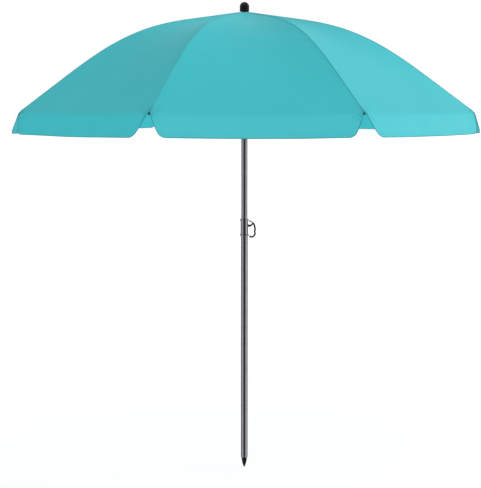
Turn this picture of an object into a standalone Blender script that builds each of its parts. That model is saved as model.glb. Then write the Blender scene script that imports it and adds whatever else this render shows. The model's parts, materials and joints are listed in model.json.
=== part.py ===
"""Beach umbrella with a two-piece pole, a ground spike, a hooked clamp screw and an eight-rib folding canopy.

Metres, +Z up. The origin is the blunt tip of the ground spike, on the pole's axis. The umbrella is open.
"""

import math

import bmesh
import bpy
from mathutils import Matrix, Vector

# Driving dimensions
RIBS = 8
RIB_STEP = math.tau / RIBS
FIRST_RIB = RIB_STEP / 2  # so that a panel faces each of +X, +Y, -X and -Y
GAP = 0.0003  # between neighbouring pieces

CANOPY_RADIUS = 0.900  # at the rib tips
CANOPY_TOP = 1.867  # where the panels meet
CROWN_SLOPE = 0.158  # of a rib near the top
RIM_SLOPE = 0.740  # of a rib near its tip
BEND_FROM, BEND_TO = 0.20, 0.75  # radii between which a rib bends
STATION_FROM, STATIONS = 0.060, 14  # the first radius and the count of a rib's straight steps
CLOTH = 0.0008  # thickness of the panels
VALANCE_DROP = 0.0895
VALANCE_FLARE = math.radians(24)
VALANCE_START = 0.004  # from the rib tip to the valance's side, at the fold
VALANCE_INSET = 0.032  # more, at the valance's lower edge
VALANCE_CURVE = 1.33  # how the sides bow: 1 is straight
VALANCE_CORNER = 0.016  # radius of its lower corners

RIB_RADIUS = 0.0020
RIB_END = CANOPY_RADIUS - 0.002
RIB_DEPTH = 0.0034  # of the rib's middle under the cloth's middle
TIP_DEPTH = 0.0052  # the same at the tip, where the cap is thicker
PIVOT_RADIUS = 0.022  # of the rib hinges, from the pole's axis
PIVOT_HEIGHT = 1.852
TUBE_TOP = PIVOT_HEIGHT - 0.0140
EYE_RADIUS = 0.0032
EYE_WIDTH = 0.0024
RING_WIRE = 0.0008  # radius of the wire that the rib roots hang on

STRETCHER_JOINT_RADIUS = 0.360  # where a stretcher meets its rib
STRETCHER_JOINT_DROP = 0.008  # under the rib's middle
STRETCHER_RADIUS = 0.0020
RIVET_RADIUS = 0.0014
RUNNER_DROP = 0.220  # from the rib hinges to the stretchers' feet, open

UPPER_RADIUS = 0.0125
LOWER_RADIUS = 0.0140
WALL = 0.0012
UPPER_BOTTOM = 0.768
TUBE_JOIN = 1.044  # the top of the clamp collar
SPIKE_LENGTH = 0.0405
SPIKE_TIP_RADIUS = 0.0030

COLLAR_LENGTH = 0.069
COLLAR_RADIUS = 0.0153
FLANGE_RADIUS = 0.0175
FLANGE_HEIGHT = 0.007
LIP_HEIGHT = 0.005  # of the collar's lip over the lower tube's end
SCREW_HEIGHT = TUBE_JOIN - 0.028
SCREW_RADIUS = 0.0030
BUSH_RADIUS = 0.0050

CROWN_RADIUS = 0.0265
CROWN_TOP = PIVOT_HEIGHT + 0.0110
RUNNER_RADIUS = 0.0155
LUG_RADIUS = 0.0270
SLOT_WIDTH = 0.0034

COLOURS = {
    "cloth": (0.065, 0.430, 0.520, 0.75, 0.0),
    "steel": (0.060, 0.058, 0.066, 0.28, 0.9),
    "rib_steel": (0.030, 0.030, 0.034, 0.35, 0.8),
    "plastic": (0.012, 0.012, 0.013, 0.42, 0.0),
    "bright": (0.500, 0.500, 0.510, 0.30, 1.0),
}


def material(name):
    """One of the COLOURS: red, green, blue, roughness and metallic."""
    found = bpy.data.materials.get(name)
    if found:
        return found
    made = bpy.data.materials.new(name)
    made.use_nodes = True
    shader = made.node_tree.nodes["Principled BSDF"]
    red, green, blue, rough, metal = COLOURS[name]
    shader.inputs["Base Color"].default_value = (red, green, blue, 1)
    shader.inputs["Roughness"].default_value = rough
    shader.inputs["Metallic"].default_value = metal
    made.diffuse_color = (red, green, blue, 1)
    return made


def place(name, data, finish=None, guide=False):
    """A named object in the parts' collection, or in the cutters'."""
    made = bpy.data.objects.new(name, data)
    (cutters if guide else parts).objects.link(made)
    if guide:
        made.hide_render = True
        made.display_type = "WIRE"
    elif finish:
        data.materials.clear()
        data.materials.append(material(finish))
    return made


def mesh_of(made):
    """The finished mesh of an object whose modifiers are evaluated; the object goes."""
    bpy.context.view_layer.update()
    graph = bpy.context.evaluated_depsgraph_get()
    data = bpy.data.meshes.new_from_object(made.evaluated_get(graph))
    data.transform(made.matrix_world)
    work = bmesh.new()
    work.from_mesh(data)
    bmesh.ops.remove_doubles(work, verts=work.verts, dist=1e-6)
    work.to_mesh(data)
    work.free()
    bpy.data.objects.remove(made)
    data.shade_smooth()
    data.set_sharp_from_angle(angle=math.radians(35))
    return data


def turned(name, profile, steps, finish=None, guide=False):
    """A solid turned about Z. The profile runs down the outer side; a closed one has a hole inside."""
    data = bpy.data.meshes.new(name)
    closed = profile[0][0] > 0 and profile[-1][0] > 0
    ends = [(i, i + 1) for i in range(len(profile) - 1)]
    if closed:
        ends.append((len(profile) - 1, 0))
    data.from_pydata([(r, 0, z) for r, z in profile], ends, [])
    made = place(name, data, finish, guide=guide)
    screw = made.modifiers.new("turn", "SCREW")
    screw.steps = screw.render_steps = steps
    screw.use_merge_vertices = True
    screw.merge_threshold = 1e-5
    return made


def wire(name, points, radius, sides=1, closed=False):
    """A round wire through the points. More sides make it rounder."""
    data = bpy.data.curves.new(name, "CURVE")
    data.dimensions = "3D"
    spline = data.splines.new("POLY")
    spline.points.add(len(points) - 1)
    for point, at in zip(spline.points, points):
        point.co = (*at, 1)
    spline.use_cyclic_u = closed
    data.bevel_depth = radius
    data.bevel_resolution = sides
    data.use_fill_caps = not closed
    return place(name, data)


def rod(name, start, end, radius, sides=12, guide=True):
    """A straight round bar between two points."""
    start, end = Vector(start), Vector(end)
    work = bmesh.new()
    bmesh.ops.create_cone(work, cap_ends=True, segments=sides, radius1=radius, radius2=radius,
                          depth=(end - start).length)
    turn = (end - start).to_track_quat("Z", "Y").to_matrix().to_4x4()
    work.transform(Matrix.Translation((start + end) / 2) @ turn)
    return solid(name, work, guide=guide)


def block(name, low, high, guide=True):
    """A box from its lowest to its highest corner."""
    low, high = Vector(low), Vector(high)
    work = bmesh.new()
    bmesh.ops.create_cube(work, size=1)
    work.transform(Matrix.Translation((low + high) / 2) @ Matrix.Diagonal((high - low).to_4d()))
    return solid(name, work, guide=guide)


def solid(name, work, guide=False):
    """An object from a finished bmesh, which is freed."""
    data = bpy.data.meshes.new(name)
    bmesh.ops.recalc_face_normals(work, faces=work.faces)
    work.to_mesh(data)
    work.free()
    return place(name, data, guide=guide)


def boolean(made, other, operation):
    """Cuts another object out of this one, or joins it on."""
    step = made.modifiers.new(operation.lower(), "BOOLEAN")
    step.operation = operation
    step.solver = "EXACT"
    step.object = other


def finished(name, made, finish):
    """The object again, as one plain mesh under its final name."""
    data = mesh_of(made)
    data.name = name
    return place(name, data, finish)


def at_every_rib(name, made):
    """A cutter made of copies of an object, one at each rib's azimuth; the object goes."""
    work = bmesh.new()
    for turn in rib_angles():
        copy = made.data.copy()
        copy.transform(Matrix.Rotation(turn, 4, "Z"))
        work.from_mesh(copy)
        bpy.data.meshes.remove(copy)
    bpy.data.objects.remove(made)
    return solid(name, work, guide=True)


def smooth(value, low, high):
    """0 below low, 1 above high, and an S curve between."""
    t = min(max((value - low) / (high - low), 0), 1)
    return t * t * (3 - 2 * t)


def rib_slope(radius):
    return CROWN_SLOPE + (RIM_SLOPE - CROWN_SLOPE) * smooth(radius, BEND_FROM, BEND_TO)


def cloth_height(radius, steps=60):
    """The height of the cloth's middle on a rib: the slope summed outwards from the top."""
    width = radius / steps
    return CANOPY_TOP - sum(rib_slope((i + 0.5) * width) for i in range(steps)) * width


def under_cloth(radius, depth):
    """A point a given depth under the cloth on a rib, as (radius, height)."""
    tilt = math.atan(rib_slope(radius))
    return radius - depth * math.sin(tilt), cloth_height(radius) - depth * math.cos(tilt)


def rib_angles():
    return [FIRST_RIB + i * RIB_STEP for i in range(RIBS)]


def stations():
    """The radii at which a rib and the cloth over it bend, both at the same places."""
    return [STATION_FROM + (CANOPY_RADIUS - STATION_FROM) * i / STATIONS for i in range(STATIONS + 1)]


# The pole's lower section

def lower_tube():
    bottom = SPIKE_LENGTH + 0.001
    top = TUBE_JOIN - LIP_HEIGHT - 0.0005
    inner = LOWER_RADIUS - WALL
    profile = [(LOWER_RADIUS, top), (LOWER_RADIUS, bottom), (inner, bottom), (inner, top)]
    tube = turned("lower_tube_blank", profile, 32)
    hole = rod("screw_hole", (0, 0, SCREW_HEIGHT), (0.05, 0, SCREW_HEIGHT), SCREW_RADIUS + GAP, 16)
    boolean(tube, hole, "DIFFERENCE")
    finished("lower_tube", tube, "steel")


def ground_spike():
    """A plug in the tube's lower end, which tapers to a blunt tip."""
    neck = LOWER_RADIUS - WALL - 0.0004
    foot = neck - 0.0003
    plug_top, bevel, belly = 0.086, 0.001, 0.0012
    profile = [(0, plug_top), (neck - bevel, plug_top), (neck, plug_top - bevel)]
    profile += [(neck, SPIKE_LENGTH + 0.0005), (foot, SPIKE_LENGTH)]
    steps = 6
    for i in range(1, steps + 1):
        t = i / steps
        radius = foot * (1 - t) + SPIKE_TIP_RADIUS * t + belly * math.sin(math.pi * t)
        profile.append((radius, SPIKE_LENGTH * (1 - t)))
    profile.append((0, 0))
    turned("ground_spike", profile, 28, "plastic").data.shade_smooth()


def clamp_collar():
    """The sleeve round the tube's upper end, flanged at both ends, with a lip over the tube's end."""
    top, bottom = TUBE_JOIN, TUBE_JOIN - COLLAR_LENGTH
    bore, lip = LOWER_RADIUS + GAP, LOWER_RADIUS - WALL
    chamfer = 0.0006
    profile = [
        (FLANGE_RADIUS - chamfer, top),
        (FLANGE_RADIUS, top - chamfer),
        (FLANGE_RADIUS, top - FLANGE_HEIGHT + chamfer),
        (COLLAR_RADIUS, top - FLANGE_HEIGHT - chamfer),
        (COLLAR_RADIUS, bottom + FLANGE_HEIGHT + chamfer),
        (FLANGE_RADIUS, bottom + FLANGE_HEIGHT - chamfer),
        (FLANGE_RADIUS, bottom + chamfer),
        (FLANGE_RADIUS - chamfer, bottom),
        (bore, bottom),
        (bore, top - LIP_HEIGHT),
        (lip, top - LIP_HEIGHT),
        (lip, top),
    ]
    collar = turned("clamp_collar_blank", profile, 32)
    hole = rod("bush_hole", (0, 0, SCREW_HEIGHT), (0.05, 0, SCREW_HEIGHT), BUSH_RADIUS + GAP, 20)
    boolean(collar, hole, "DIFFERENCE")
    finished("clamp_collar", collar, "steel")


def clamp_bush():
    """The threaded bush that the clamp screw turns in."""
    inner, length = SCREW_RADIUS + GAP, 0.0045
    profile = [(BUSH_RADIUS, length), (BUSH_RADIUS, 0), (inner, 0), (inner, length)]
    bush = turned("clamp_bush_blank", profile, 20)
    seat = Matrix.Translation((LOWER_RADIUS + 0.0004, 0, SCREW_HEIGHT))
    bush.matrix_world = seat @ Matrix.Rotation(math.pi / 2, 4, "Y")
    finished("clamp_bush", bush, "bright")


def arc(centre, radius, start, end, count):
    """Points on an arc in the XZ plane, angles in degrees from +X towards +Z."""
    for i in range(count + 1):
        angle = math.radians(start + (end - start) * i / count)
        yield centre[0] + radius * math.cos(angle), 0, centre[1] + radius * math.sin(angle)


def clamp_hook():
    """The clamp screw and its head, from the screw's axis: two arms round an eye, and a J hook under them."""
    tip = UPPER_RADIUS + GAP
    screw = rod("hook_screw", (tip, 0, 0), (0.0235, 0, 0), SCREW_RADIUS, 12, guide=False)
    lower_arm = [(0.0225, 0, 0), (0.0262, 0, 0.0008), (0.0305, 0, 0.0042), (0.0338, 0, 0.0072)]
    shoulder = [(0.0366, 0, 0.0083), (0.0390, 0, 0.0066), (0.0410, 0, 0.0015), (0.0428, 0, -0.0080)]
    shoulder += [(0.0436, 0, -0.0187)]
    curl = [*arc((0.0286, -0.0310), 0.0150, 30, -105, 8), (0.0226, 0, -0.0437)]
    upper_arm = [(0.0184, 0, 0.0197), (0.0245, 0, 0.0186), (0.0305, 0, 0.0152), (0.0362, 0, 0.0095)]
    bars = {
        "hook_bar": (lower_arm + shoulder + curl, 0.0036),
        "hook_upper_arm": (upper_arm, 0.0023),
    }
    for name, (points, radius) in bars.items():
        bar = mesh_of(wire(name + "_curve", points, radius, 2))
        boolean(screw, place(name, bar, guide=True), "UNION")
    balls = {
        "hook_ball": ((0.0232, 0, -0.0437), 0.0042),
        "hook_knuckle": ((0.0364, 0, 0.0087), 0.0043),
    }
    for name, (at, radius) in balls.items():
        ball = bmesh.new()
        bmesh.ops.create_uvsphere(ball, u_segments=11, v_segments=8, radius=radius)
        ball.transform(Matrix.Translation(at))
        boolean(screw, solid(name, ball, guide=True), "UNION")
    washer = rod("hook_washer", (0.0192, 0, 0), (0.0220, 0, 0), 0.0056, 16)
    boolean(screw, washer, "UNION")
    finished("clamp_hook", screw, "plastic").location = (0, 0, SCREW_HEIGHT)


# The pole's upper section

def upper_tube():
    """Slotted near the runner's open place for the catch."""
    inner = UPPER_RADIUS - WALL
    profile = [(UPPER_RADIUS, TUBE_TOP), (UPPER_RADIUS, UPPER_BOTTOM)]
    profile += [(inner, UPPER_BOTTOM), (inner, TUBE_TOP)]
    tube = turned("upper_tube_blank", profile, 32)
    slot = block("catch_slot", (-0.0030, -0.05, catch_top() - 0.030), (0.0030, 0, catch_top() + 0.001))
    boolean(tube, slot, "DIFFERENCE")
    finished("upper_tube", tube, "steel")


def guide_plug():
    """The plug that closes the upper tube's lower end and guides it in the lower tube."""
    shank, rim = UPPER_RADIUS - WALL - GAP, LOWER_RADIUS - WALL - 0.0003
    face, bevel = UPPER_BOTTOM - GAP, 0.0015
    top, bottom = face + 0.022, face - 0.005
    profile = [(0, top), (shank - bevel, top), (shank, top - bevel), (shank, face)]
    profile += [(rim, face), (rim, bottom + bevel), (rim - bevel, bottom), (0, bottom)]
    turned("guide_plug", profile, 28, "plastic")


def crown():
    """The hub on the pole's top, with a slot for each rib's root and a groove for the wire they hang on."""
    shank, low, high = UPPER_RADIUS - WALL - GAP, PIVOT_HEIGHT - 0.0065, PIVOT_HEIGHT + 0.0065
    tube_end, plug_end, neck = TUBE_TOP + GAP, TUBE_TOP - 0.0310, 0.0142
    profile = [
        (0, CROWN_TOP),
        (0.0070, CROWN_TOP),
        (0.0100, CROWN_TOP - 0.001),
        (CROWN_RADIUS - 0.001, high),
        (CROWN_RADIUS, high - 0.001),
        (CROWN_RADIUS, low + 0.001),
        (CROWN_RADIUS - 0.001, low),
        (neck, low),
        (neck, tube_end),
        (shank, tube_end),
        (shank, plug_end + 0.001),
        (shank - 0.001, plug_end),
        (0, plug_end),
    ]
    hub = turned("crown_blank", profile, 32)
    slot = block("crown_slot", (0.0182, -SLOT_WIDTH / 2, low - 0.01), (0.04, SLOT_WIDTH / 2, high + 0.01))
    boolean(hub, at_every_rib("crown_slots", slot), "DIFFERENCE")
    side = RING_WIRE + GAP
    groove = [
        (PIVOT_RADIUS + side, PIVOT_HEIGHT + side),
        (PIVOT_RADIUS + side, low - 0.01),
        (PIVOT_RADIUS - side, low - 0.01),
        (PIVOT_RADIUS - side, PIVOT_HEIGHT + side),
    ]
    ring_groove = turned("crown_groove", groove, 32, guide=True)
    boolean(hub, ring_groove, "DIFFERENCE")
    finished("crown", hub, "plastic")


def crown_ring():
    """The wire that the ribs hang on."""
    count = 48
    points = []
    for i in range(count):
        angle = FIRST_RIB / 2 + i * math.tau / count
        points.append((PIVOT_RADIUS * math.cos(angle), PIVOT_RADIUS * math.sin(angle), PIVOT_HEIGHT))
    ring = wire("crown_ring_curve", points, RING_WIRE, closed=True)
    finished("crown_ring", ring, "bright")


def finial():
    """The domed cap that holds the canopy down on the crown, with a peg through the cloth."""
    base, radius, height = CANOPY_TOP + 0.0004, 0.0185, 0.0375
    dome, bevel = 0.0175, 0.0012
    peg, peg_end = 0.0055, CROWN_TOP + GAP
    profile = [(0, base + height)]
    steps = 8
    for i in range(1, steps + 1):
        angle = math.pi / 2 * i / steps
        profile.append((radius * math.sin(angle), base + height - dome * (1 - math.cos(angle))))
    profile += [(radius, base + bevel), (radius - bevel, base), (peg, base), (peg, peg_end), (0, peg_end)]
    turned("finial", profile, 28, "plastic")


# The runner and its catch

def runner_height():
    return PIVOT_HEIGHT - RUNNER_DROP


def catch_top():
    """The catch's shoulder, on which the runner rests."""
    return runner_height() - 0.0410


def runner():
    """The sleeve that slides on the pole. Its ring of lugs has a slot for each stretcher's foot."""
    centre = runner_height()
    top, ring_low, bottom = centre + 0.0060, centre - 0.0060, catch_top() + GAP
    bore = UPPER_RADIUS + 0.0005
    profile = [
        (RUNNER_RADIUS + 0.0010, top),
        (LUG_RADIUS - 0.001, top),
        (LUG_RADIUS, top - 0.001),
        (LUG_RADIUS, ring_low + 0.001),
        (LUG_RADIUS - 0.001, ring_low),
        (RUNNER_RADIUS, ring_low - 0.002),
        (RUNNER_RADIUS, bottom + 0.009),
        (RUNNER_RADIUS + 0.0035, bottom + 0.005),
        (RUNNER_RADIUS + 0.0035, bottom + 0.001),
        (RUNNER_RADIUS + 0.0025, bottom),
        (bore, bottom),
        (bore, top),
    ]
    sleeve = turned("runner_blank", profile, 32)
    slot = block("lug_slot", (0.0170, -SLOT_WIDTH / 2, ring_low - 0.02), (0.05, SLOT_WIDTH / 2, top + 0.01))
    boolean(sleeve, at_every_rib("lug_slots", slot), "DIFFERENCE")
    finished("runner", sleeve, "plastic")


def runner_catch():
    """A sprung wedge in the pole, in front. It is pushed in to let the runner down."""
    top = catch_top() - GAP
    outline = [
        (-0.0085, top),
        (-0.0163, top),
        (-0.0163, top - 0.004),
        (-0.0125, top - 0.024),
        (-0.0085, top - 0.028),
    ]
    data = bpy.data.curves.new("catch_outline", "CURVE")
    data.dimensions = "2D"
    data.fill_mode = "BOTH"
    data.extrude = 0.0024
    spline = data.splines.new("POLY")
    spline.points.add(len(outline) - 1)
    for point, (y, z) in zip(spline.points, outline):
        point.co = (y, z, 0, 1)
    spline.use_cyclic_u = True
    wedge = place("catch_outline", data)
    wedge.matrix_world = Matrix(((0, 0, 1, 0), (1, 0, 0, 0), (0, 1, 0, 0), (0, 0, 0, 1)))
    finished("runner_catch", wedge, "bright")


# The canopy frame, built along +X in the frame of one rib and copied round the pole

def at_rib(radius, height):
    """A point on the rib's plane, from its hinge."""
    return Vector((radius - PIVOT_RADIUS, 0, height - PIVOT_HEIGHT))


def rib_depth(radius):
    return RIB_DEPTH + (TIP_DEPTH - RIB_DEPTH) * smooth(radius, CANOPY_RADIUS - 0.08, CANOPY_RADIUS - 0.01)


def rib_mesh():
    """A bent wire with a flat eye on the crown's ring."""
    points = [at_rib(PIVOT_RADIUS + 0.0015, PIVOT_HEIGHT)]
    for radius in stations()[:-1] + [RIB_END]:
        points.append(at_rib(*under_cloth(radius, rib_depth(radius))))
    bar = place("rib_bar", mesh_of(wire("rib_curve", points, RIB_RADIUS)), guide=True)
    half = EYE_WIDTH / 2
    eye = rod("rib_eye", (0, -half, 0), (0, half, 0), EYE_RADIUS, 14, guide=False)
    boolean(bar, block("rib_root_trim_left", (-0.01, half, -0.01), (0.03, 0.01, 0.01)), "DIFFERENCE")
    boolean(bar, block("rib_root_trim_right", (-0.01, -0.01, -0.01), (0.03, -half, 0.01)), "DIFFERENCE")
    boolean(eye, bar, "UNION")
    boolean(eye, rod("rib_eye_hole", (0, -0.01, 0), (0, 0.01, 0), RING_WIRE + 0.0005, 10), "DIFFERENCE")
    return mesh_of(eye)


def rib_tip_mesh():
    """A small cap on the rib's end, with a blind hole for the wire."""
    end = at_rib(*under_cloth(RIB_END, rib_depth(RIB_END)))
    radius, bore, socket, length = 0.0031, RIB_RADIUS + GAP, 0.008, 0.018
    profile = [
        (0, length),
        (radius * 0.6, length - 0.0006),
        (radius, length - 0.0026),
        (radius, 0.0006),
        (radius - 0.0005, 0),
        (bore, 0),
        (bore, socket),
        (0, socket),
    ]
    cap = turned("rib_tip_blank", profile, 12)
    tilt = math.pi / 2 + math.atan(RIM_SLOPE)
    forward = Vector((math.sin(tilt), 0, math.cos(tilt)))
    cap.matrix_world = Matrix.Translation(end - forward * (socket - GAP)) @ Matrix.Rotation(tilt, 4, "Y")
    return mesh_of(cap)


def stretcher_joint():
    """Where the stretcher's hinge is on the rib's plane, as (radius, height)."""
    radius, height = under_cloth(STRETCHER_JOINT_RADIUS, RIB_DEPTH)
    return radius, height - STRETCHER_JOINT_DROP


def bracket_mesh():
    """Two cheeks under the rib with the stretcher's rivet through them."""
    gap, cheek, low = 0.0017, 0.0011, 0.0040
    tilt = math.atan(rib_slope(STRETCHER_JOINT_RADIUS))
    top = STRETCHER_JOINT_DROP * math.cos(tilt) - RIB_RADIUS - 2 * GAP
    saddle = block("bracket_saddle", (-0.006, -gap - cheek, -low), (0.006, gap + cheek, top), guide=False)
    boolean(saddle, block("bracket_slot", (-0.01, -gap, -0.01), (0.01, gap, top - 0.0015)), "DIFFERENCE")
    half = gap + cheek + 0.0008
    boolean(saddle, rod("bracket_rivet", (0, -half, 0), (0, half, 0), RIVET_RADIUS, 10), "UNION")
    joint = at_rib(*stretcher_joint())
    data = mesh_of(saddle)
    data.transform(Matrix.Translation(joint) @ Matrix.Rotation(tilt, 4, "Y"))
    return data


def stretcher_mesh():
    """A strut with an eye at each end; its origin is on the hinge at the rib."""
    joint = Vector(stretcher_joint())
    foot = Vector((PIVOT_RADIUS, runner_height())) - joint
    foot = Vector((foot.x, 0, foot.y))
    along = foot.normalized()
    bar = wire("stretcher_curve", [along * 0.002, foot / 2, foot - along * 0.002], STRETCHER_RADIUS)
    bar = place("stretcher_bar", mesh_of(bar), guide=True)
    half, reach = EYE_WIDTH / 2, 0.009
    for side in (-1, 1):
        edges = sorted((side * half, side * 0.01))
        for end, at in (("top", Vector()), ("foot", foot)):
            low = (at.x - reach, edges[0], at.z - reach)
            high = (at.x + reach, edges[1], at.z + reach)
            trim = block(f"stretcher_trim_{end}_{'left' if side > 0 else 'right'}", low, high)
            boolean(bar, trim, "DIFFERENCE")
    eye = rod("stretcher_eye", (0, -half, 0), (0, half, 0), EYE_RADIUS, 14, guide=False)
    side = Vector((0, half, 0))
    foot_eye = rod("stretcher_foot_eye", foot - side, foot + side, EYE_RADIUS, 14)
    boolean(eye, bar, "UNION")
    boolean(eye, foot_eye, "UNION")
    for name, at in (("stretcher_hole", Vector()), ("stretcher_foot_hole", foot)):
        across = Vector((0, 0.01, 0))
        boolean(eye, rod(name, at - across, at + across, RIVET_RADIUS + GAP, 10), "DIFFERENCE")
    return mesh_of(eye)


def panel_rows():
    """The panel's rows, from the top to the valance's edge: radius on the rib, depth down the valance."""
    rows = [(radius, 0) for radius in [0.0085, 0.03] + stations()]
    straight = VALANCE_DROP - VALANCE_CORNER
    depths = [straight / 3, straight * 2 / 3]
    depths += [straight + VALANCE_CORNER * math.sin(math.radians(angle)) for angle in (0, 30, 60, 90)]
    return rows + [(CANOPY_RADIUS, depth) for depth in depths]


def side_gap(depth):
    """How far the valance's side is from the rib, down the valance, with its round lower corner."""
    gap = VALANCE_START + VALANCE_INSET * (depth / VALANCE_DROP) ** VALANCE_CURVE
    into = (depth - (VALANCE_DROP - VALANCE_CORNER)) / VALANCE_CORNER
    if into > 0:
        gap += VALANCE_CORNER * (1 - math.sqrt(max(0, 1 - into * into)))
    return gap


def panel_mesh():
    """One panel and its valance: straight across from rib to rib, curved along them. From the rib's hinge."""
    work = bmesh.new()
    columns = 4
    turn = Matrix.Rotation(RIB_STEP, 4, "Z")
    hinge = Vector((PIVOT_RADIUS, 0, PIVOT_HEIGHT))
    outward = Vector((math.cos(RIB_STEP / 2), math.sin(RIB_STEP / 2), 0))
    hang = outward * math.sin(VALANCE_FLARE) - Vector((0, 0, math.cos(VALANCE_FLARE)))
    grid = []
    for radius, depth in panel_rows():
        left = Vector((radius, 0, cloth_height(radius)))
        right = turn @ left
        width = (right - left).length
        margin = (side_gap(depth) if depth else 0.0006) / width
        row = []
        for i in range(columns + 1):
            share = margin + (1 - 2 * margin) * i / columns
            row.append(work.verts.new(left.lerp(right, share) + hang * depth - hinge))
        grid.append(row)
    for upper, lower in zip(grid, grid[1:]):
        for i in range(columns):
            work.faces.new((upper[i], lower[i], lower[i + 1], upper[i + 1]))
    data = bpy.data.meshes.new("panel_sheet")
    work.to_mesh(data)
    work.free()
    sheet = place("panel_sheet", data)
    thick = sheet.modifiers.new("thickness", "SOLIDIFY")
    thick.thickness = CLOTH
    thick.offset = 0
    return mesh_of(sheet)


def canopy_frame():
    """Each rib with its cap, bracket, stretcher and panel, on an empty at its hinge."""
    joint_radius, joint_height = stretcher_joint()
    meshes = {
        "rib": (rib_mesh(), "rib_steel"),
        "rib_tip": (rib_tip_mesh(), "plastic"),
        "stretcher_bracket": (bracket_mesh(), "plastic"),
        "canopy_panel": (panel_mesh(), "cloth"),
    }
    strut = stretcher_mesh()
    for i, angle in enumerate(rib_angles(), 1):
        hinge = place(f"rib_hinge_{i}", None)
        hinge.location = (PIVOT_RADIUS * math.cos(angle), PIVOT_RADIUS * math.sin(angle), PIVOT_HEIGHT)
        hinge.rotation_euler.z = angle
        for name, (data, finish) in meshes.items():
            place(f"{name}_{i}", data, finish).parent = hinge
        made = place(f"stretcher_{i}", strut, "rib_steel")
        made.parent = hinge
        made.location = at_rib(joint_radius, joint_height)


for old in list(bpy.data.objects):
    bpy.data.objects.remove(old)
parts = bpy.data.collections.new("beach_umbrella")
cutters = bpy.data.collections.new("cutters")
bpy.context.scene.collection.children.link(parts)
bpy.context.scene.collection.children.link(cutters)

lower_tube()
ground_spike()
clamp_collar()
clamp_bush()
clamp_hook()
upper_tube()
guide_plug()
crown()
crown_ring()
finial()
runner()
runner_catch()
canopy_frame()
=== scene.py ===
"""The looks of the beach umbrella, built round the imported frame.

The canopy is one curved sheet, cut along hidden lines because each rib turns when the canopy folds. On
every rib lies a ridge of cloth with half a panel on each side, and a small gore joins it to the crown.
Lengths are metres. In a rib's frame X runs outwards from the pole's axis, Y across the rib and Z up.
"""

import json
import math

import bmesh
import bpy
from mathutils import Matrix, Vector, noise

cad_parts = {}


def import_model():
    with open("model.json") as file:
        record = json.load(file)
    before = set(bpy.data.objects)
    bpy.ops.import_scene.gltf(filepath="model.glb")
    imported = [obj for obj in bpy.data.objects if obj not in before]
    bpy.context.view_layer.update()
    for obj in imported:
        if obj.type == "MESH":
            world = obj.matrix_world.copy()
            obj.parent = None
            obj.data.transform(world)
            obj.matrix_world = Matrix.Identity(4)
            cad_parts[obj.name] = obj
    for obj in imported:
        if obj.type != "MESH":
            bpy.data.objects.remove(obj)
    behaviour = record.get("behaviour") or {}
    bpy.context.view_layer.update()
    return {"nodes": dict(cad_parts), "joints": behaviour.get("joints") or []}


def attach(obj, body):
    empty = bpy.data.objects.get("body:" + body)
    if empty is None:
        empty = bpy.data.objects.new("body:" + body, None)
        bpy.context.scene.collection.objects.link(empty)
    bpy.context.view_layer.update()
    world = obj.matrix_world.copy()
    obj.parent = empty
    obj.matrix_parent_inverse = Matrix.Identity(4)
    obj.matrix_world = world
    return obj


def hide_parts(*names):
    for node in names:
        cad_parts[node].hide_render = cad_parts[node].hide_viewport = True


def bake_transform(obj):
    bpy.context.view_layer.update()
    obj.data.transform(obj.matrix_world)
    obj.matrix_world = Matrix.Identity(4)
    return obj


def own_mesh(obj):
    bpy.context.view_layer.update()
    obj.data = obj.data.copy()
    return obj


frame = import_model()
NODES = frame["nodes"]
JOINTS = {joint["name"]: joint for joint in frame["joints"]}

# The canopy's form, as the frame has it
RIBS = 8
HALF_STEP = math.pi / RIBS  # from a rib to the middle of its panel
RADIUS = 0.900  # at the rib tips
TOP = 1.867
CROWN_SLOPE, RIM_SLOPE = 0.158, 0.740
BEND_FROM, BEND_TO = 0.20, 0.75
HOLE = 0.0080  # radius of the hole for the finial's peg
CLOTH = 0.0006  # thickness
BEAD = 0.00105  # radius of the bound edge
SAG = 0.020  # of a panel between its ribs, half way down
HEM_SAG = 0.005  # of the fold line between the rib tips
LOOSE = 0.0016  # height of the panels' faint waves
RIPPLE = 0.0038  # of the valance's free edge
UNDER_SEAM = 0.00012  # from a rib's middle to a panel's edge, under the seam
VALANCE_DROP = 0.0895
VALANCE_FLARE = math.radians(24)
VALANCE_START = 0.0035  # from the rib tip to the valance's side, at the fold
VALANCE_INSET = 0.032  # more, at the valance's lower edge
VALANCE_CURVE = 1.33  # how the sides bow: 1 is straight
VALANCE_CORNER = 0.018  # radius of its lower corners
FOLD_LENGTH = 0.016  # over which the cloth turns down into the valance
RIDGE = 0.016  # how far to each side of a rib the cloth keeps its width when the canopy folds
TOP_OVERLAP = 0.35  # of each top gore over the next, as a share of its half width
TOP_LIFT = 0.00045  # of every other top gore, which keeps them apart where they overlap

RIB_DEPTH = 0.0034  # of a rib's middle under the cloth
TIE_RADII = (0.14, 0.26, 0.48, 0.66, 0.82)
TIE_RADIUS, TIE_LENGTH = 0.0028, 0.009

WEAVE = 0.0011  # the length of cloth that two threads take up
STITCH_PITCH, STITCH_SHARE = 0.0042, 0.72  # of a row of stitches, and how much of it is thread
THREAD = 0.0007  # width of a stitch
SEAM_FROM, SEAM_TO = 0.0195, 0.8985  # radii where the seam over a rib starts and ends
SEAM_BAND = [(-0.0040, 0.0002), (-0.0034, 0.0008), (-0.0016, 0.0012), (0, 0.0014)]  # half its section

# Grids and steps
HEIGHT_STEPS = 900
ROWS, TOP_ROWS, DROP_ROWS = 56, 9, 14
COLUMNS = {"top": 6, "ridge": 4, "side": 17}
SEAM_ROWS, SEAM_TOP_ROWS = 84, 8
CORNER_STEPS, SIDE_STEPS, HEM_STEPS = 6, 26, 28  # along the valance's bound edge


def smooth(value, low, high):
    t = min(max((value - low) / (high - low), 0), 1)
    return t * t * (3 - 2 * t)


def rib_slope(radius):
    return CROWN_SLOPE + (RIM_SLOPE - CROWN_SLOPE) * smooth(radius, BEND_FROM, BEND_TO)


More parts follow.
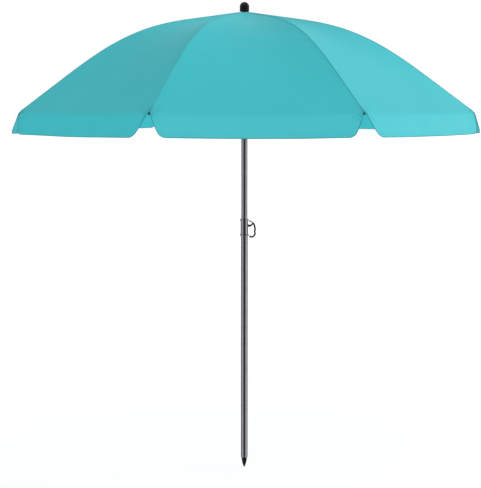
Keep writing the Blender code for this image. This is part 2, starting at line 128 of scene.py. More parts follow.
def height_table():
    """The cloth's height on a rib at even steps of radius, from the axis to the tip."""
    width = RADIUS / HEIGHT_STEPS
    heights = [TOP]
    for i in range(HEIGHT_STEPS):
        heights.append(heights[-1] - rib_slope((i + 0.5) * width) * width)
    return heights


HEIGHTS = height_table()


def cloth_height(radius):
    at = min(max(radius / RADIUS, 0), 1) * (len(HEIGHTS) - 1)
    i = min(int(at), len(HEIGHTS) - 2)
    return HEIGHTS[i] + (HEIGHTS[i + 1] - HEIGHTS[i]) * (at - i)


RIB_LENGTH = sum(math.hypot(RADIUS / HEIGHT_STEPS, drop[0] - drop[1]) for drop in zip(HEIGHTS, HEIGHTS[1:]))


def rib_angle(index):
    """The azimuth of a rib, from its hinge."""
    x, y, _ = JOINTS[f"rib_hinge_{index}"]["pos_m"]
    return math.atan2(y, x)


# Soft boxes: azimuth from the front towards the right and height, in degrees, power, and what each lights
LIGHT_DISTANCE, LIGHT_SIZE, LIGHT_AIM = 12, 4.0, 1.6
LIGHTS = {
    "key": (96, 25, 435, "all"),
    "rear": (135, 38, 250, "diffuse"),
    "front": (0, 0, 208, "diffuse"),
    "sheen": (0, 40, 700, "gloss"),
    "fill": (-55, 40, 165, "all"),
}
ROOM_LIGHT = 0.43
MIRRORED_LIGHT = 1.10  # of the room in reflections
FLOOR_RADIUS = 60


# Materials

def nodes_of(name):
    """A new material's nodes, links and shader."""
    made = bpy.data.materials.new(name)
    made.use_nodes = True
    tree = made.node_tree
    return made, tree.nodes, tree.links, tree.nodes["Principled BSDF"]


def math_node(nodes, links, operation, *values):
    """A Math node whose inputs are numbers or other nodes' outputs."""
    made = nodes.new("ShaderNodeMath")
    made.operation = operation
    for socket, value in zip(made.inputs, values):
        if isinstance(value, (int, float)):
            socket.default_value = value
        else:
            links.new(value, socket)
    return made.outputs[0]


def mixed_colour(nodes, links, share, first, second):
    """A mix of two colours, or of a colour and a node's output."""
    made = nodes.new("ShaderNodeMix")
    made.data_type = "RGBA"
    links.new(share, made.inputs["Factor"])
    for socket, value in ((made.inputs[6], first), (made.inputs[7], second)):
        if isinstance(value, tuple):
            socket.default_value = (*value, 1)
        else:
            links.new(value, socket)
    return made.outputs[2]


def object_place(nodes):
    return nodes.new("ShaderNodeTexCoord").outputs["Object"]


def noise_node(nodes, links, vector, scale, detail=2.0, rough=0.5):
    made = nodes.new("ShaderNodeTexNoise")
    made.inputs["Scale"].default_value = scale
    made.inputs["Detail"].default_value = detail
    made.inputs["Roughness"].default_value = rough
    links.new(vector, made.inputs["Vector"])
    return made.outputs["Fac"]


def range_node(nodes, links, value, low, high, new_low, new_high):
    made = nodes.new("ShaderNodeMapRange")
    links.new(value, made.inputs["Value"])
    for name, number in (("From Min", low), ("From Max", high), ("To Min", new_low), ("To Max", new_high)):
        made.inputs[name].default_value = number
    return made.outputs["Result"]


def bump_node(nodes, links, height, distance, strength, normal=None):
    made = nodes.new("ShaderNodeBump")
    made.inputs["Distance"].default_value = distance
    made.inputs["Strength"].default_value = strength
    links.new(height, made.inputs["Height"])
    if normal is not None:
        links.new(normal, made.inputs["Normal"])
    return made.outputs["Normal"]


def stitch_row(nodes, links, across, along, offset):
    """1 on the stitches of a row that runs at an offset from a seam, 0 elsewhere."""
    away = math_node(nodes, links, "ABSOLUTE", math_node(nodes, links, "SUBTRACT", across, offset))
    in_row = math_node(nodes, links, "LESS_THAN", away, THREAD / 2)
    phase = math_node(nodes, links, "FRACT", math_node(nodes, links, "DIVIDE", along, STITCH_PITCH))
    on_thread = math_node(nodes, links, "LESS_THAN", phase, STITCH_SHARE)
    return math_node(nodes, links, "MULTIPLY", in_row, on_thread)


def uv_parts(nodes, links, layer):
    """A UV map, and its two coordinates on their own."""
    place = nodes.new("ShaderNodeUVMap")
    place.uv_map = layer
    split = nodes.new("ShaderNodeSeparateXYZ")
    links.new(place.outputs["UV"], split.inputs[0])
    return place.outputs["UV"], split.outputs[0], split.outputs[1]


def stitches(nodes, links, across, along, seam_rows, edge_rows):
    """1 on the stitches of rows beside the seam and inside the hem, or None where there are no rows."""
    rows = [(across, along, offset) for offset in seam_rows]
    if edge_rows:
        _, along_hem, inside_hem = uv_parts(nodes, links, "edge")
        rows += [(inside_hem, along_hem, offset) for offset in edge_rows]
    marks = None
    for row_across, row_along, offset in rows:
        row = stitch_row(nodes, links, row_across, row_along, offset)
        marks = row if marks is None else math_node(nodes, links, "MAXIMUM", marks, row)
    return marks


def cloth_colour(nodes, links, colour, shade, fine, marks):
    """Two tones in soft patches with a fine grain, and paler thread on the stitches."""
    patches = noise_node(nodes, links, object_place(nodes), 2.6, 3.0, 0.55)
    patches = math_node(nodes, links, "MULTIPLY", patches, 0.75)
    tone = math_node(nodes, links, "ADD", patches, math_node(nodes, links, "MULTIPLY", fine, 0.25))
    tone = range_node(nodes, links, tone, 0.30, 0.70, 0.0, 1.0)
    base = mixed_colour(nodes, links, tone, shade, colour)
    if marks is None:
        return base
    thread = tuple(min(1, c * 1.25 + 0.02) for c in colour)
    return mixed_colour(nodes, links, marks, base, thread)


def drawn_noise(nodes, links, place, scale, detail):
    """Noise on a sheet with one scale across and another along it."""
    drawn = nodes.new("ShaderNodeMapping")
    drawn.inputs["Scale"].default_value = (*scale, 1.0)
    links.new(place, drawn.inputs["Vector"])
    return noise_node(nodes, links, drawn.outputs[0], 1.0, detail)


def fading(nodes, links, distance, rate):
    """e to the power of a distance times a negative rate: 1 at no distance, and less further off."""
    return math_node(nodes, links, "POWER", math.e, math_node(nodes, links, "MULTIPLY", distance, rate))


def tip_fan(nodes, links, across, along):
    """The height of the creases that fan out in the cloth from a rib's tip, where it is pulled tight."""
    from_tip = math_node(nodes, links, "SUBTRACT", along, RIB_LENGTH)
    turn = math_node(nodes, links, "ARCTAN2", from_tip, across)
    waves = math_node(nodes, links, "SINE", math_node(nodes, links, "MULTIPLY", turn, 13.0))
    squares = [math_node(nodes, links, "POWER", value, 2) for value in (across, from_tip)]
    fade = fading(nodes, links, math_node(nodes, links, "ADD", *squares), -550.0)
    return math_node(nodes, links, "MULTIPLY", waves, fade)


def weave_height(nodes, links, across, along):
    """The height of a plain weave's crossing threads."""
    threads = []
    for direction in (across, along):
        turns = math_node(nodes, links, "MULTIPLY", direction, math.tau / WEAVE)
        threads.append(math_node(nodes, links, "ABSOLUTE", math_node(nodes, links, "SINE", turns)))
    return math_node(nodes, links, "MAXIMUM", *threads)


def cloth_normal(nodes, links, place, across, along, marks):
    """Slow creases, puckers beside the seam, the fan at the rib's tip, stitches and the weave."""
    normal = bump_node(nodes, links, drawn_noise(nodes, links, place, (5.0, 14.0), 3.0), 0.006, 0.22)
    pucker = drawn_noise(nodes, links, place, (12.0, 110.0), 1.5)
    pucker = math_node(nodes, links, "SUBTRACT", pucker, 0.5)
    pucker = math_node(nodes, links, "MULTIPLY", pucker, fading(nodes, links, across, -45.0))
    normal = bump_node(nodes, links, pucker, 0.004, 0.55, normal)
    normal = bump_node(nodes, links, tip_fan(nodes, links, across, along), 0.0035, 0.5, normal)
    if marks is not None:
        normal = bump_node(nodes, links, marks, 0.0005, 0.8, normal)
    return bump_node(nodes, links, weave_height(nodes, links, across, along), 0.00022, 0.35, normal)


def cloth_material(name, colour, shade, seam_rows=(), edge_rows=()):
    """Plain-woven polyester. UVMap is (across, along) from the seam, and edge is (along, in) from the hem."""
    made, nodes, links, shader = nodes_of(name)
    place, across, along = uv_parts(nodes, links, "UVMap")
    fine = noise_node(nodes, links, object_place(nodes), 240.0, 2.0, 0.6)
    marks = stitches(nodes, links, across, along, seam_rows, edge_rows)
    links.new(cloth_colour(nodes, links, colour, shade, fine, marks), shader.inputs["Base Color"])
    links.new(range_node(nodes, links, fine, 0.3, 0.7, 0.47, 0.60), shader.inputs["Roughness"])
    shader.inputs["Specular IOR Level"].default_value = 0.24
    shader.inputs["Sheen Weight"].default_value = 0.06
    shader.inputs["Sheen Roughness"].default_value = 0.45
    links.new(cloth_normal(nodes, links, place, across, along, marks), shader.inputs["Normal"])
    return made


def metal_material(name, colour, dull, rough, metallic=1.0):
    """Drawn and coated tube: fine streaks along its length, faint scuffs, and a clear gloss."""
    made, nodes, links, shader = nodes_of(name)
    place = object_place(nodes)
    drawn = nodes.new("ShaderNodeMapping")
    drawn.inputs["Scale"].default_value = (900.0, 900.0, 9.0)
    links.new(place, drawn.inputs["Vector"])
    lines = noise_node(nodes, links, drawn.outputs[0], 1.0, 3.0, 0.6)
    scuff = noise_node(nodes, links, place, 60.0, 4.0, 0.62)
    worn = range_node(nodes, links, scuff, 0.45, 0.75, 0.0, 1.0)
    links.new(mixed_colour(nodes, links, worn, colour, dull), shader.inputs["Base Color"])
    gloss = range_node(nodes, links, lines, 0.3, 0.7, rough - 0.05, rough + 0.10)
    links.new(gloss, shader.inputs["Roughness"])
    shader.inputs["Metallic"].default_value = metallic
    shader.inputs["Coat Weight"].default_value = 0.25
    shader.inputs["Coat Roughness"].default_value = 0.12
    links.new(bump_node(nodes, links, lines, 0.0002, 0.05), shader.inputs["Normal"])
    return made


def plastic_material(name, colour, worn_colour, rough):
    """Moulded plastic: a fine grain, slow changes of gloss, and paler wear."""
    made, nodes, links, shader = nodes_of(name)
    place = object_place(nodes)
    pits = noise_node(nodes, links, place, 1400.0, 2.0, 0.6)
    patches = noise_node(nodes, links, place, 45.0, 4.0, 0.6)
    worn = range_node(nodes, links, patches, 0.52, 0.78, 0.0, 0.8)
    links.new(mixed_colour(nodes, links, worn, colour, worn_colour), shader.inputs["Base Color"])
    gloss = range_node(nodes, links, patches, 0.3, 0.7, rough - 0.07, rough + 0.10)
    links.new(gloss, shader.inputs["Roughness"])
    shader.inputs["Specular IOR Level"].default_value = 0.10
    links.new(bump_node(nodes, links, pits, 0.00015, 0.25), shader.inputs["Normal"])
    return made


def make_materials():
    teal, teal_shade = (0.044, 0.575, 0.640), (0.036, 0.545, 0.608)
    return {
        "cloth": cloth_material("canopy_cloth", teal, teal_shade, (0.0062,), (0.0085,)),
        "seam": cloth_material("seam_cloth", (0.034, 0.480, 0.540), (0.028, 0.420, 0.480), (0.0014, -0.0014)),
        "binding": cloth_material("binding_cloth", (0.014, 0.240, 0.275), (0.012, 0.205, 0.240)),
        "pole": metal_material("gunmetal", (0.255, 0.250, 0.268), (0.205, 0.200, 0.216), 0.16),
        "rib": metal_material("rib_steel", (0.060, 0.060, 0.066), (0.085, 0.085, 0.090), 0.34, 0.9),
        "bush": metal_material("blackened_steel", (0.120, 0.120, 0.125), (0.180, 0.178, 0.175), 0.30),
        "zinc": metal_material("zinc_plate", (0.560, 0.560, 0.550), (0.400, 0.390, 0.370), 0.30),
        "black": plastic_material("black_plastic", (0.0040, 0.0040, 0.0044), (0.011, 0.011, 0.012), 0.34),
    }


MATERIALS = make_materials()


# Mesh helpers

def object_of(name, work, finish, smooth_angle):
    """A mesh object from a finished bmesh, which is freed, shaded smooth up to an angle in degrees."""
    data = bpy.data.meshes.new(name)
    work.to_mesh(data)
    work.free()
    data.shade_smooth()
    if smooth_angle < 180:
        data.set_sharp_from_angle(angle=math.radians(smooth_angle))
    data.materials.append(MATERIALS[finish])
    made = bpy.data.objects.new(name, data)
    bpy.context.scene.collection.objects.link(made)
    return made


def applied(made):
    """The object with its modifiers in its mesh."""
    bpy.context.view_layer.update()
    graph = bpy.context.evaluated_depsgraph_get()
    old = made.data
    made.data = bpy.data.meshes.new_from_object(made.evaluated_get(graph))
    made.modifiers.clear()
    bpy.data.meshes.remove(old)
    return made


def thickened(name, work, finish, offset):
    """A closed sheet of cloth from an open surface, smooth but for its cut edges."""
    made = object_of(name, work, finish, 180)
    thick = made.modifiers.new("thickness", "SOLIDIFY")
    thick.thickness = CLOTH
    thick.offset = offset
    applied(made).data.set_sharp_from_angle(angle=math.radians(50))
    return made


def tube(work, points, radii, sides):
    """Adds a round tube along the points to a bmesh, with a radius at each of them, closed at its ends."""
    rings = []
    count = len(points)
    side = None
    for i, point in enumerate(points):
        ahead = points[min(i + 1, count - 1)] - points[max(i - 1, 0)]
        ahead.normalize()
        if side is None:
            side = ahead.orthogonal()
        side = (side - ahead * side.dot(ahead)).normalized()
        up = ahead.cross(side)
        ring = []
        for k in range(sides):
            angle = math.tau * k / sides
            reach = side * math.cos(angle) + up * math.sin(angle)
            ring.append(work.verts.new(point + reach * radii[i]))
        rings.append(ring)
    for low, high in zip(rings, rings[1:]):
        for k in range(sides):
            n = (k + 1) % sides
            work.faces.new((low[k], low[n], high[n], high[k]))
    work.faces.new(rings[0][::-1])
    work.faces.new(rings[-1])


def skin(work, grid, layers, places, turned=False):
    """Adds the faces between the rows of a grid of vertices, with each vertex's place in each UV layer."""
    for upper, lower in zip(grid, grid[1:]):
        for k in range(len(upper) - 1):
            corners = (upper[k], lower[k], lower[k + 1], upper[k + 1])
            face = work.faces.new(corners[::-1] if turned else corners)
            for loop in face.loops:
                for layer, place in zip(layers, places[loop.vert]):
                    loop[layer].uv = place


def plain_uv(work, across, along):
    """UVs of a small piece from two of its axes, away from the puckers beside a seam."""
    layer = work.loops.layers.uv.new("UVMap")
    for face in work.faces:
        for loop in face.loops:
            loop[layer].uv = (0.05 + loop.vert.co[across], loop.vert.co[along])


# The canopy

def side_gap(depth):
    """How far the valance's side is from the rib tip, down the valance, with its round lower corner."""
    gap = VALANCE_START + VALANCE_INSET * (depth / VALANCE_DROP) ** VALANCE_CURVE
    into = (depth - (VALANCE_DROP - VALANCE_CORNER)) / VALANCE_CORNER
    if into > 0:
        gap += VALANCE_CORNER * (1 - math.sqrt(max(0, 1 - into * into)))
    return gap


def hang(depth):
    """How far out and down the valance has gone, a given length below the fold."""
    rim = math.atan(RIM_SLOPE / math.cos(HALF_STEP))
    final = math.pi / 2 - VALANCE_FLARE
    out = down = 0
    steps = 24
    for i in range(steps):
        angle = rim + (final - rim) * smooth((i + 0.5) / steps * depth, 0, FOLD_LENGTH)
        out += math.cos(angle) * depth / steps
        down += math.sin(angle) * depth / steps
    return out, down


def on_panel(index, side, share):
    """The number of a half panel's whole panel, and the way across that from -1 to 1, 0 in its middle."""
    return (index, share - 1) if side > 0 else ((index - 2) % RIBS + 1, 1 - share)


def ripple(index, side, share, depth):
    """How far the hanging edge waves outwards. It is the same in the middle for both halves of a panel."""
    panel, across = on_panel(index, side, share)
    phase = 1.7 * panel
    wave = 0.6 * math.sin(2.3 * across * math.pi + phase)
    wave += 0.4 * math.sin(4.1 * across * math.pi + 2.1 * phase)
    return RIPPLE * wave * smooth(depth, 0, VALANCE_DROP) * smooth(share, 0, 0.15)


def slack(index, side, radius, share):
    """How far the panel lies under the straight line between its ribs, with faint loose waves."""
    middle = 1 - (1 - share) ** 2
    down_rib = radius / RADIUS
    hollow = SAG * math.sin(math.pi * min(down_rib, 1)) ** 1.2 + HEM_SAG * down_rib**3
    panel, across = on_panel(index, side, share)
    spot = Vector((across * 1.6, radius * 5.5, panel * 3.1))
    loose = LOOSE * noise.noise(spot) * middle * smooth(radius, 0.08, 0.3)
    return middle * hollow + loose


def cloth_point(index, side, radius, share, depth=0.0):
    """A point of the cloth in the rib's frame, share 0 on the rib and 1 in the panel's middle."""
    half = radius * math.sin(HALF_STEP)
    x = radius - half * math.sin(HALF_STEP) * share
    y = half * math.cos(HALF_STEP) * share
    out = Vector((math.cos(HALF_STEP), math.sin(HALF_STEP), 0))
    slope = math.atan(rib_slope(radius) / math.cos(HALF_STEP))
    inward = Vector((-out.x * math.sin(slope), -out.y * math.sin(slope), -math.cos(slope)))
    point = Vector((x, y, cloth_height(radius))) + inward * slack(index, side, radius, share)
    if depth > 0:
        outward, down = hang(depth)
        outward += ripple(index, side, share, depth)
        point += out * outward - Vector((0, 0, down))
    return Vector((point.x, side * point.y, point.z))


def ridge_share(radius, depth):
    """Where a row leaves the ridge, the strip of cloth along a rib."""
    outward = hang(depth)[0] if depth > 0 else 0.0
    width = radius * math.sin(HALF_STEP) * math.cos(HALF_STEP)
    return min(max((RIDGE - outward * math.sin(HALF_STEP)) / width, 0), 1)


def first_share(radius, depth):
    """Where a row starts: on the rib, which its edge leaves just before the tip, or at the valance's side."""
    if depth > 0:
        return side_gap(depth) / (radius * math.sin(HALF_STEP))
    near_tip = smooth(radius, RADIUS - 0.008, RADIUS)
    return (UNDER_SEAM + side_gap(0) * near_tip) / (radius * math.sin(HALF_STEP))


def ridge_depth():
    """How far down the valance its side leaves the ridge."""
    low, high = 0.0, VALANCE_DROP
    for _ in range(30):
        middle = (low + high) / 2
        if first_share(RADIUS, middle) < ridge_share(RADIUS, middle):
            low = middle
        else:
            high = middle
    return high


RIDGE_TOP = RIDGE / (math.sin(HALF_STEP) * math.cos(HALF_STEP))  # radius where ridges stop meeting
RIDGE_DEPTH = ridge_depth()


def cloth_rows(zone):
    """(radius, depth) of each row of a zone, from the top to the valance's edge.

    Rows lie a little closer together towards the rim, and then towards the hem.
    """
    rows = [(HOLE + (RIDGE_TOP - HOLE) * i / TOP_ROWS, 0.0) for i in range(TOP_ROWS + 1)]
    if zone == "top":
        return rows
    rows = rows[-1:]
    rows += [(RIDGE_TOP + (RADIUS - RIDGE_TOP) * (i / ROWS) ** 0.95, 0.0) for i in range(1, ROWS + 1)]
    depths = {VALANCE_DROP * (1 - (1 - i / DROP_ROWS) ** 1.35) for i in range(1, DROP_ROWS + 1)}
    depths = sorted(depths | {RIDGE_DEPTH})
    return rows + [(RADIUS, depth) for depth in depths if zone != "ridge" or depth <= RIDGE_DEPTH]


def overlap(index, radius):
    """How far a top gore reaches over the next one, as a share, and how much it is lifted."""
    swell = math.sin(math.pi * min(max((radius - HOLE) / (RIDGE_TOP - HOLE), 0), 1))
    return TOP_OVERLAP * swell, (TOP_LIFT if index % 2 else -TOP_LIFT) * max(swell, 0) ** 0.3


def zone_shares(zone, index, radius, depth):
    """Where a row of a zone starts and ends."""
    edge, ridge = first_share(radius, depth), ridge_share(radius, depth)
    if zone == "top":
        return edge, 1 + overlap(index, radius)[0]
    return (min(edge, ridge), ridge) if zone == "ridge" else (max(edge, ridge), 1)


def cloth_patch(work, index, side, zone):
    """Adds an open surface: half a top gore or ridge, or what lies from a ridge to a panel's middle."""
    grid, places = [], {}
    first = cloth_rows(zone)[0][0]
    length = math.hypot(first, cloth_height(first) - TOP)
    last = None
    for radius, depth in cloth_rows(zone):
        on_rib = cloth_point(index, side, radius, 0, depth)
        length += (on_rib - last).length if last else 0
        last = on_rib
        half = radius * math.sin(HALF_STEP)
        start, end = zone_shares(zone, index, radius, depth)
        lift = Vector((0, 0, overlap(index, radius)[1] if zone == "top" else 0))
        row = []
        for k in range(COLUMNS[zone] + 1):
            share = start + (end - start) * (k / COLUMNS[zone]) ** (1.2 if zone == "side" else 1)
            vertex = work.verts.new(cloth_point(index, side, radius, share, depth) + lift)
            below = VALANCE_DROP - depth if radius == RADIUS else 1.0
            beside = share * half - side_gap(depth) if depth > 0 else 1.0
            inside = min(below, max(beside, 0))
            places[vertex] = ((share * half, length), (share * half + depth, inside))
            row.append(vertex)
        grid.append(row)
    layers = [work.loops.layers.uv[name] for name in ("UVMap", "edge")]
    skin(work, grid, layers, places, turned=side < 0)


def cloth_sheet(name, index, zone, sides):
    """A thin closed sheet: a zone of the cloth on one or both sides of a rib."""
    work = bmesh.new()
    work.loops.layers.uv.new("UVMap")
    work.loops.layers.uv.new("edge")
    for side in sides:
        cloth_patch(work, index, side, zone)
    bmesh.ops.remove_doubles(work, verts=work.verts, dist=1e-7)
    work.transform(Matrix.Rotation(rib_angle(index), 4, "Z"))
    return thickened(name, work, "cloth", 0)


def side_name(side):
    return "left" if side > 0 else "right"


def edge_points(index, side, on_ridge):
    """The free edge of a half valance: on the ridge at the rib tip, or the rest, down its side and along."""
    first, last = (0.0, RIDGE_DEPTH) if on_ridge else (RIDGE_DEPTH, VALANCE_DROP)
    points = []
    steps = CORNER_STEPS if on_ridge else SIDE_STEPS
    for i in range(steps + 1):
        depth = first + (last - first) * math.sin(math.pi / 2 * i / steps)
        points.append(cloth_point(index, side, RADIUS, first_share(RADIUS, max(depth, 1e-6)), depth))
    if not on_ridge:
        start = first_share(RADIUS, VALANCE_DROP)
        for i in range(1, HEM_STEPS + 1):
            share = start + (1 - start) * i / HEM_STEPS
            points.append(cloth_point(index, side, RADIUS, share, VALANCE_DROP))
    return points


def binding(index, side, on_ridge):
    """The bound edge of a half valance: a thin dark bead."""
    work = bmesh.new()
    points = edge_points(index, side, on_ridge)
    tube(work, points, [BEAD] * len(points), 8)
    plain_uv(work, 2, 1)
    bmesh.ops.recalc_face_normals(work, faces=work.faces)
    work.transform(Matrix.Rotation(rib_angle(index), 4, "Z"))
    name = f"{'corner' if on_ridge else 'binding'}_{side_name(side)}_{index}"
    return object_of(name, work, "binding", 180)


def seam(name, index, first, last, count):
    """A stretch of the felled seam over a rib: a low rounded band across both panels' edges."""
    work = bmesh.new()
    plan = work.loops.layers.uv.new("UVMap")
    band = SEAM_BAND + [(-offset, lift) for offset, lift in SEAM_BAND[-2::-1]]
    grid, places = [], {}
    length = math.hypot(first, cloth_height(first) - TOP)
    before = None
    for i in range(count + 1):
        radius = first + (last - first) * i / count
        tilt = math.atan(rib_slope(radius))
        normal = Vector((math.sin(tilt), 0, math.cos(tilt)))
        ridge = Vector((radius, 0, cloth_height(radius)))
        length += (ridge - before).length if before else 0
        before = ridge
        row = []
        for offset, lift in band:
            share = abs(offset) / (radius * math.sin(HALF_STEP))
            side = 1 if offset >= 0 else -1
            on_cloth = cloth_point(index, side, radius, share)
            narrow = smooth(radius, 0.0, 0.06) * 0.4 + 0.6
            vertex = work.verts.new(on_cloth.lerp(ridge, 1 - narrow) + normal * lift)
            places[vertex] = ((offset, length),)
            row.append(vertex)
        grid.append(row)
    skin(work, grid, [plan], places)
    work.transform(Matrix.Rotation(rib_angle(index), 4, "Z"))
    return thickened(name, work, "seam", -1)


def ties(index):
    """The short sleeves that hold the cloth to its rib."""
    work = bmesh.new()
    for radius in TIE_RADII:
        tilt = math.atan(rib_slope(radius))
        along = Vector((math.cos(tilt), 0, -math.sin(tilt))) * TIE_LENGTH / 2
        normal = Vector((math.sin(tilt), 0, math.cos(tilt)))
        middle = Vector((radius, 0, cloth_height(radius))) - normal * RIB_DEPTH
        points = [middle + along * share for share in (-1, -0.85, 0.85, 1)]
        tube(work, points, [TIE_RADIUS * share for share in (0.88, 1, 1, 0.88)], 14)
    plain_uv(work, 1, 0)
    bmesh.ops.recalc_face_normals(work, faces=work.faces)
    work.transform(Matrix.Rotation(rib_angle(index), 4, "Z"))
    return object_of(f"ties_{index}", work, "binding", 40)


def cut_size(zone, sides):
    """The flat width and length that a zone was cut to, on one or both sides of a rib, and its area."""
    area = length = widest = 0.0
    last = None
    for radius, depth in cloth_rows(zone):
        start, end = zone_shares(zone, 1, radius, depth)
        width = (end - start) * radius * math.sin(HALF_STEP) * sides
        point = cloth_point(1, 1, radius, 1 if zone == "side" else 0, depth)
        if last:
            step = (point - last[0]).length
            area += step * (width + last[1]) / 2
            length += step
        last = point, width
        widest = max(widest, width)
    return (widest, length), area


def bend_at_top(piece):
    """Puts a piece of cloth's placement into its mesh."""
    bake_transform(piece)


def canopy_side(index, side):
    """What lies between a ridge and the panel's middle."""
    sheet = cloth_sheet(f"canopy_{side_name(side)}_{index}", index, "side", (side,))
    edge = binding(index, side, False)
    for piece in (sheet, edge):
        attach(piece, f"rib_{index}")
        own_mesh(piece)
    if side > 0:
        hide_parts(f"canopy_panel_{index}")
    return sheet, [edge]


def canopy_ridge(index):
    """The strip of cloth on a rib, which turns with it as it is, with its seam, ties and valance corners."""
    ridge = cloth_sheet(f"canopy_ridge_{index}", index, "ridge", (1, -1))
    seam_band = seam(f"seam_{index}", index, RIDGE_TOP, SEAM_TO, SEAM_ROWS)
    details = [seam_band, ties(index), binding(index, 1, True), binding(index, -1, True)]
    for piece in (ridge, *details):
        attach(piece, f"rib_{index}")
    return ridge, details


def canopy_top(index):
    """The cloth by the finial, between the crown and the rib."""
    top = cloth_sheet(f"canopy_top_{index}", index, "top", (1, -1))
    seam_band = seam(f"seam_top_{index}", index, SEAM_FROM, RIDGE_TOP, SEAM_TOP_ROWS)
    for piece in (top, seam_band):
        bend_at_top(piece)
    return top, [seam_band]


def canopy():
    cuts = {zone: cut_size(zone, 1 if zone == "side" else 2) for zone in COLUMNS}
    for index in range(1, RIBS + 1):
        made = [("top", canopy_top(index)), ("ridge", canopy_ridge(index))]
        made += [("side", canopy_side(index, side)) for side in (1, -1)]


# The hard parts keep their CAD shapes

def smoothing_group(degrees=35):
    """Nodes that shade a mesh smooth between the edges sharper than an angle."""
    made = bpy.data.node_groups.new("smooth_by_angle", "GeometryNodeTree")
    for direction in ("INPUT", "OUTPUT"):
        made.interface.new_socket("Geometry", in_out=direction, socket_type="NodeSocketGeometry")
    nodes, links = made.nodes, made.links
    flat_normals = nodes.new("GeometryNodeRemoveAttribute")
    flat_normals.inputs["Name"].default_value = "custom_normal"
    faces, edges = (nodes.new("GeometryNodeSetShadeSmooth") for _ in range(2))
    edges.domain = "EDGE"
    edges.inputs["Shade Smooth"].default_value = False
    sharp = nodes.new("FunctionNodeCompare")
    sharp.operation = "GREATER_THAN"
    sharp.inputs[1].default_value = math.radians(degrees)
    links.new(nodes.new("GeometryNodeInputMeshEdgeAngle").outputs["Unsigned Angle"], sharp.inputs[0])
    links.new(sharp.outputs[0], edges.inputs["Selection"])
    links.new(nodes.new("NodeGroupInput").outputs[0], flat_normals.inputs["Geometry"])
    links.new(flat_normals.outputs[0], faces.inputs["Geometry"])
    links.new(faces.outputs[0], edges.inputs["Geometry"])
    links.new(edges.outputs[0], nodes.new("NodeGroupOutput").inputs[0])
    return made


def finish_node(name, material, smoothing):
    """A CAD node with its faces joined, shaded smooth between its sharp edges, in its material."""
    node = NODES[name]
    node.data.materials.clear()
    node.data.materials.append(MATERIALS[material])
    weld = node.modifiers.new("weld", "WELD")
    weld.merge_threshold = 1e-6
    node.modifiers.new("smooth", "NODES").node_group = smoothing


def hard_parts():
    finishes = {
        "lower_tube": "pole",
        "clamp_collar": "pole",
        "upper_tube": "pole",
        "ground_spike": "black",
        "clamp_hook": "black",
        "guide_plug": "black",
        "crown": "black",
        "finial": "black",
        "runner": "black",
        "clamp_bush": "bush",
        "crown_ring": "zinc",
        "runner_catch": "zinc",
    }
    for index in range(1, RIBS + 1):
        finishes[f"rib_{index}"] = "rib"
        finishes[f"stretcher_{index}"] = "rib"
        finishes[f"rib_tip_{index}"] = "black"
        finishes[f"stretcher_bracket_{index}"] = "black"
    smoothing = smoothing_group()
    for name, finish in finishes.items():
        finish_node(name, finish, smoothing)


# Stage, light and camera

def stage_material():
    """A pale floor that glows white further off, as a lit sweep does."""
    made, nodes, links, shader = nodes_of("stage")
    length = nodes.new("ShaderNodeVectorMath")
    length.operation = "LENGTH"
    links.new(object_place(nodes), length.inputs[0])
    glow = range_node(nodes, links, length.outputs["Value"], 1.5, 9.0, 0.82, 1.0)
    links.new(glow, shader.inputs["Emission Strength"])
    shader.inputs["Base Color"].default_value = (0.25, 0.25, 0.25, 1)
    shader.inputs["Roughness"].default_value = 0.9
    shader.inputs["Specular IOR Level"].default_value = 0.1
    shader.inputs["Emission Color"].default_value = (1, 1, 1, 1)
    return made


def floor():
    work = bmesh.new()
    bmesh.ops.create_circle(work, cap_ends=True, segments=96, radius=FLOOR_RADIUS)
    data = bpy.data.meshes.new("floor")
    work.to_mesh(data)
    work.free()
    made = bpy.data.objects.new("floor", data)
    bpy.context.scene.collection.objects.link(made)
    made.location.z = -0.0005
    made.visible_glossy = False  # the pole mirrors the room, which is what gives it its dark and bright bands
    data.materials.append(stage_material())


def room_light(nodes, links, mirrored):
    """The room's brightness by direction: dark in front and behind, bright at the sides and above.

    Its left is dimmer than its right, and less so in reflections.
    """
    split = nodes.new("ShaderNodeSeparateXYZ")
    links.new(nodes.new("ShaderNodeTexCoord").outputs["Generated"], split.inputs[0])
    x, y, z = split.outputs
    from_front = range_node(nodes, links, y, -0.88, -0.66, 0.07, 1.0)
    to_back = range_node(nodes, links, y, 0.10, 0.50, 1.0, 0.10)
    sides = math_node(nodes, links, "MULTIPLY", from_front, to_back)
    right = range_node(nodes, links, x, -1.0, 1.0, 0.34, 1.30)
    right = math_node(nodes, links, "MAXIMUM", right, mirrored)
    above = range_node(nodes, links, z, 0.0, 1.0, 0.0, 0.80)
    level = math_node(nodes, links, "ADD", math_node(nodes, links, "MULTIPLY", sides, right), above)
    strength = range_node(nodes, links, mirrored, 0.0, 1.0, ROOM_LIGHT, MIRRORED_LIGHT)
    return math_node(nodes, links, "MULTIPLY", level, strength)


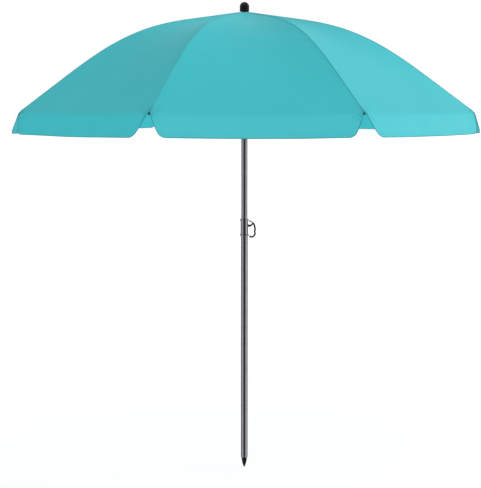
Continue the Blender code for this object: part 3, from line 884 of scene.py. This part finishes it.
def world():
    """White behind the object, and a bright room that lights it."""
    made = bpy.data.worlds.new("studio")
    made.use_nodes = True
    nodes, links = made.node_tree.nodes, made.node_tree.links
    room = nodes["Background"]
    backdrop = nodes.new("ShaderNodeBackground")
    backdrop.inputs["Strength"].default_value = 1.0
    backdrop.inputs["Color"].default_value = (1, 1, 1, 1)
    path = nodes.new("ShaderNodeLightPath")
    room.inputs["Color"].default_value = (1, 1, 1, 1)
    links.new(room_light(nodes, links, path.outputs["Is Glossy Ray"]), room.inputs["Strength"])
    mix = nodes.new("ShaderNodeMixShader")
    links.new(path.outputs["Is Camera Ray"], mix.inputs[0])
    links.new(room.outputs[0], mix.inputs[1])
    links.new(backdrop.outputs[0], mix.inputs[2])
    links.new(mix.outputs[0], nodes["World Output"].inputs["Surface"])
    bpy.context.scene.world = made


def area_light(name, azimuth, height, power, use):
    """A round soft box that faces the canopy."""
    turn, rise = math.radians(azimuth), math.radians(height)
    towards = Vector((math.sin(turn) * math.cos(rise), -math.cos(turn) * math.cos(rise), math.sin(rise)))
    data = bpy.data.lights.new(name, "AREA")
    data.shape = "DISK"
    data.size = LIGHT_SIZE
    data.energy = power
    made = bpy.data.objects.new(name, data)
    bpy.context.scene.collection.objects.link(made)
    made.visible_glossy, made.visible_diffuse = use != "diffuse", use != "gloss"
    made.location = Vector((0, 0, LIGHT_AIM)) + towards * LIGHT_DISTANCE
    made.rotation_euler = (-towards).to_track_quat("-Z", "Y").to_euler()


def lights():
    for name, facts in LIGHTS.items():
        area_light(name, *facts)


def camera():
    """A long lens in front, a little left of the pole, near the height of the rib tips."""
    distance, height, azimuth = 4.082, 1.490, math.radians(-2.8)
    down, aside = math.radians(-7.66), math.radians(0.22)
    focal_pixels, frame_height = 1011.0, 488
    data = bpy.data.cameras.new("camera")
    data.sensor_width = 36
    data.lens = focal_pixels / frame_height * data.sensor_width
    made = bpy.data.objects.new("camera", data)
    bpy.context.scene.collection.objects.link(made)
    made.location = (math.sin(azimuth) * distance, -math.cos(azimuth) * distance, height)
    heading = azimuth + aside
    look = Vector((-math.sin(heading) * math.cos(down), math.cos(heading) * math.cos(down), math.sin(down)))
    made.rotation_euler = look.to_track_quat("-Z", "Y").to_euler()
    bpy.context.scene.camera = made
    bpy.context.scene.view_settings.view_transform = "Standard"


camera()
floor()
world()
lights()
hard_parts()
canopy()
